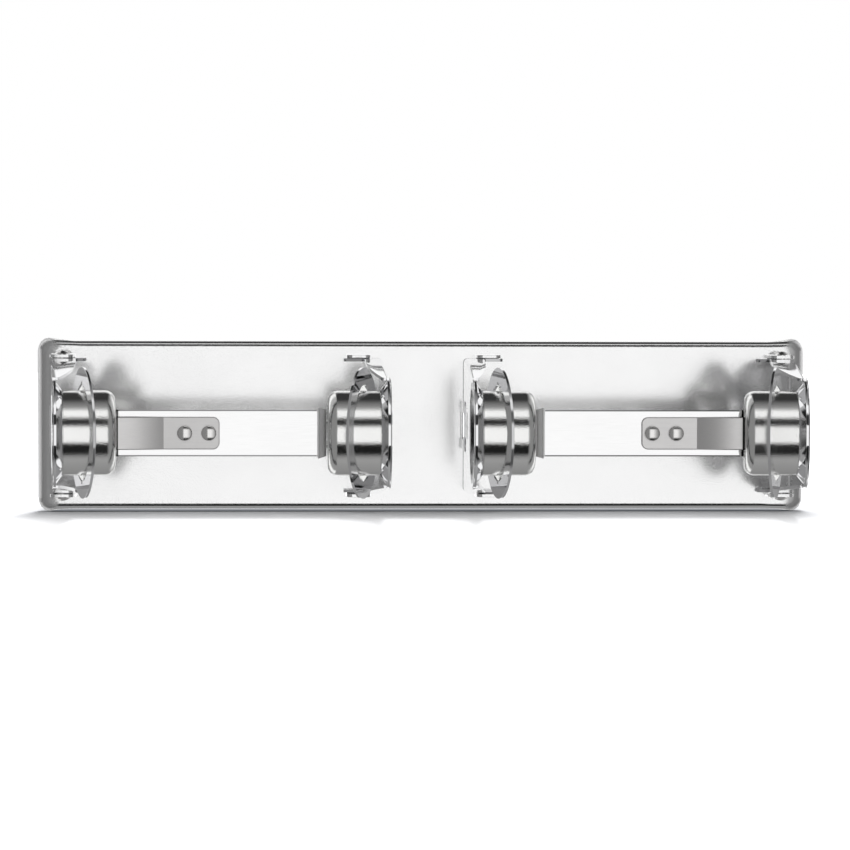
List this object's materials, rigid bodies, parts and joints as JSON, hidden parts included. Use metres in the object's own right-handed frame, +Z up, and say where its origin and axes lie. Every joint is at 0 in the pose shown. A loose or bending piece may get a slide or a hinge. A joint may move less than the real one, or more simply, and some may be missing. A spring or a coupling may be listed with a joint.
{
  "type": "toilet tissue dispenser",
  "caption": "Wall-mounted locking toilet tissue dispenser: shallow pan plate, hinged and fixed arms, drum hubs, tilting brake discs and latched tie bars.",
  "frame": {"origin": "middle of the plate on the wall plane", "axes": "+Z up, +Y into the wall, +X along the plate to its right end seen from the room; the drums stand out along -Y"},
  "size_m": [0.3144, 0.1142, 0.0708],
  "materials": {
    "wall_plate": "satin chrome plate on sheet steel",
    "outer_arm_left": "bright chrome plate",
    "hub_cup_outer_left": "bright nickel with turning marks round the drum",
    "brake_disc_outer_left": "bright chrome plate",
    "ear_bracket_outer_left": "satin chrome plate on sheet steel",
    "inner_arm_left": "bright chrome plate",
    "hub_cup_inner_left": "bright nickel with turning marks round the drum",
    "brake_disc_inner_left": "bright chrome plate",
    "ear_bracket_inner_left": "satin chrome plate on sheet steel",
    "outer_arm_right": "bright chrome plate",
    "hub_cup_outer_right": "bright nickel with turning marks round the drum",
    "brake_disc_outer_right": "bright chrome plate",
    "ear_bracket_outer_right": "satin chrome plate on sheet steel",
    "inner_arm_right": "bright chrome plate",
    "hub_cup_inner_right": "bright nickel with turning marks round the drum",
    "brake_disc_inner_right": "bright chrome plate",
    "ear_bracket_inner_right": "satin chrome plate on sheet steel",
    "tie_bar_left": "satin plated strip",
    "latch_spring_left": "plated spring steel",
    "latch_tongue_left": "plated spring steel",
    "tie_bar_right": "satin plated strip",
    "latch_spring_right": "plated spring steel",
    "latch_tongue_right": "plated spring steel",
    "latch_rivet_inner_left": "plated rivet",
    "latch_rivet_outer_left": "plated rivet",
    "bar_rivet_upper_left": "plated rivet",
    "bar_rivet_lower_left": "plated rivet",
    "pivot_rivet_upper_left": "plated rivet",
    "pivot_rivet_lower_left": "plated rivet",
    "latch_rivet_inner_right": "plated rivet",
    "latch_rivet_outer_right": "plated rivet",
    "bar_rivet_upper_right": "plated rivet",
    "bar_rivet_lower_right": "plated rivet",
    "pivot_rivet_upper_right": "plated rivet",
    "pivot_rivet_lower_right": "plated rivet"
  },
  "bodies": {
    "frame": {"wall_plate": "wall_plate", "ear_bracket_outer_left": "ear_bracket_outer_left", "ear_bracket_inner_left": "ear_bracket_inner_left", "ear_bracket_outer_right": "ear_bracket_outer_right", "ear_bracket_inner_right": "ear_bracket_inner_right", "inner_arm_left": "inner_arm_left", "hub_cup_inner_left": "hub_cup_inner_left", "tie_bar_left": "tie_bar_left", "latch_spring_left": "latch_spring_left", "inner_arm_right": "inner_arm_right", "hub_cup_inner_right": "hub_cup_inner_right", "tie_bar_right": "tie_bar_right", "latch_spring_right": "latch_spring_right", "latch_rivet_inner_left": "latch_rivet_inner_left", "latch_rivet_outer_left": "latch_rivet_outer_left", "bar_rivet_upper_left": "bar_rivet_upper_left", "bar_rivet_lower_left": "bar_rivet_lower_left", "pivot_rivet_upper_left": "pivot_rivet_upper_left", "pivot_rivet_lower_left": "pivot_rivet_lower_left", "latch_rivet_inner_right": "latch_rivet_inner_right", "latch_rivet_outer_right": "latch_rivet_outer_right", "bar_rivet_upper_right": "bar_rivet_upper_right", "bar_rivet_lower_right": "bar_rivet_lower_right", "pivot_rivet_upper_right": "pivot_rivet_upper_right", "pivot_rivet_lower_right": "pivot_rivet_lower_right"},
    "arm_left": {"outer_arm_left": "outer_arm_left", "hub_cup_outer_left": "hub_cup_outer_left"},
    "arm_right": {"outer_arm_right": "outer_arm_right", "hub_cup_outer_right": "hub_cup_outer_right"},
    "disc_outer_left": {"brake_disc_outer_left": "brake_disc_outer_left"},
    "disc_inner_left": {"brake_disc_inner_left": "brake_disc_inner_left"},
    "disc_outer_right": {"brake_disc_outer_right": "brake_disc_outer_right"},
    "disc_inner_right": {"brake_disc_inner_right": "brake_disc_inner_right"},
    "latch_left": {"latch_tongue_left": "latch_tongue_left"},
    "latch_right": {"latch_tongue_right": "latch_tongue_right"}
  },
  "joints": [
    {"name": "arm_left_swing", "type": "hinge", "parent": "frame", "child": "arm_left", "pos_m": [-0.14609, -0.0148, 0], "axis": [0, 0, -1], "range_deg": [0, 80]},
    {"name": "arm_right_swing", "type": "hinge", "parent": "frame", "child": "arm_right", "pos_m": [0.14609, -0.0148, 0], "axis": [0, 0, 1], "range_deg": [0, 80]},
    {"name": "disc_outer_left_rock", "type": "hinge", "parent": "arm_left", "child": "disc_outer_left", "pos_m": [-0.13157, -0.0883, 0], "axis": [0, 0, 1], "range_deg": [-8.5, 7.5]},
    {"name": "disc_inner_left_rock", "type": "hinge", "parent": "frame", "child": "disc_inner_left", "pos_m": [-0.0258, -0.08949, 0], "axis": [0, 0, -1], "range_deg": [-15, 1]},
    {"name": "disc_outer_right_rock", "type": "hinge", "parent": "arm_right", "child": "disc_outer_right", "pos_m": [0.13157, -0.0883, 0], "axis": [0, 0, -1], "range_deg": [-9, 7]},
    {"name": "disc_inner_right_rock", "type": "hinge", "parent": "frame", "child": "disc_inner_right", "pos_m": [0.0258, -0.08949, 0], "axis": [0, 0, 1], "range_deg": [-9, 7]},
    {"name": "latch_left_press", "type": "hinge", "parent": "frame", "child": "latch_left", "pos_m": [-0.10114, -0.09025, 0], "axis": [0, 0, -1], "range_deg": [0, 5], "stiffness_Nm_per_rad": 0.25},
    {"name": "latch_right_press", "type": "hinge", "parent": "frame", "child": "latch_right", "pos_m": [0.10114, -0.09025, 0], "axis": [0, 0, 1], "range_deg": [0, 5], "stiffness_Nm_per_rad": 0.25}
  ]
}
